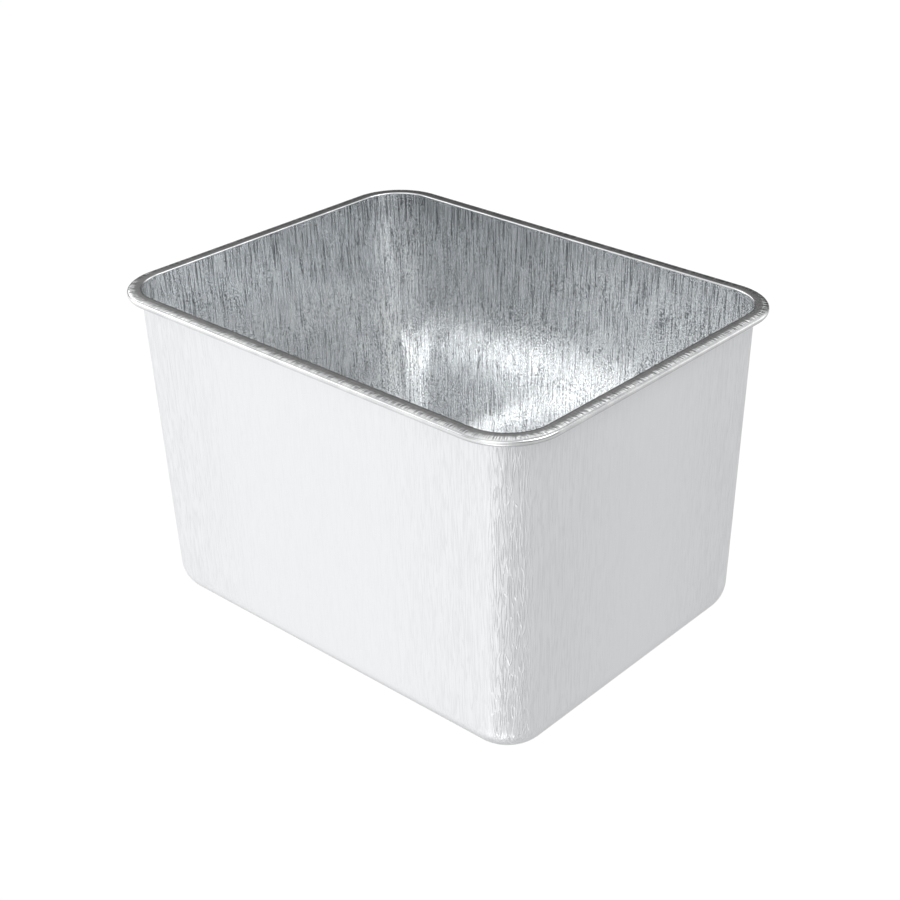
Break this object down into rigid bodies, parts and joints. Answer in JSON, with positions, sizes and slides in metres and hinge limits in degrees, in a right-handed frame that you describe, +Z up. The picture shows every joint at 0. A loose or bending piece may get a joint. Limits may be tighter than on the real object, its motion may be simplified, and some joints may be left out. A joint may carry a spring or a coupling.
{
  "type": "foil baking pan",
  "caption": "Deep rectangular smooth-wall foil baking pan with rounded corners, a rolled rim, white lacquer outside and bare aluminium inside.",
  "frame": {"origin": "middle of the underside, on the surface that the pan stands on", "axes": "+X along the long side, +Y along the short side, +Z up out of the mouth"},
  "size_m": [0.15, 0.1164, 0.0974],
  "materials": {
    "bare_aluminium": "satin, with fine upright drawing creases",
    "rolled_aluminium": "bright, with short puckers across the roll",
    "white_lacquer": "satin white over fine upright drawing creases"
  },
  "bodies": {
    "root": {"foil_body": "bare_aluminium", "rolled_rim": "rolled_aluminium", "outer_lacquer": "white_lacquer"}
  },
  "joints": []
}
